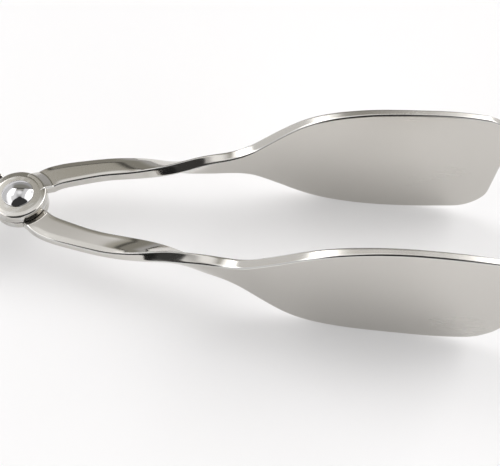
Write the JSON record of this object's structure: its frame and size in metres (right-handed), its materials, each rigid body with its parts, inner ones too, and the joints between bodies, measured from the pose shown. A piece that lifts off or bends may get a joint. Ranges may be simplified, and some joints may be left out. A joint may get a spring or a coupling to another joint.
{
  "type": "serving tongs",
  "caption": "Scissor serving tongs with upright spatula blades on twisted steel strip arms, oval finger rings and a domed pivot rivet.",
  "frame": {"origin": "the centre of the tongs' own bounding box; the rivet's axis stands 14.8 mm behind it, and Z 0 is midway between the two eyes", "axes": "+X towards the blade tips, +Y towards the upper arm's blade, +Z along the rivet towards its domed head"},
  "size_m": [0.203, 0.0812, 0.0374],
  "materials": {
    "arm_steel": "polished, warm grey stainless steel",
    "rivet_steel": "mirror polished stainless steel",
    "washer_steel": "plain stainless steel"
  },
  "bodies": {
    "lower_half": {"lower_arm": "arm_steel", "pivot_rivet": "rivet_steel", "rivet_washer": "washer_steel"},
    "upper_half": {"upper_arm": "arm_steel"}
  },
  "joints": [
    {"name": "pivot", "type": "hinge", "parent": "lower_half", "child": "upper_half", "pos_m": [-0.01476, 0, 0], "axis": [0, 0, 1], "range_deg": [-17, 25]}
  ]
}
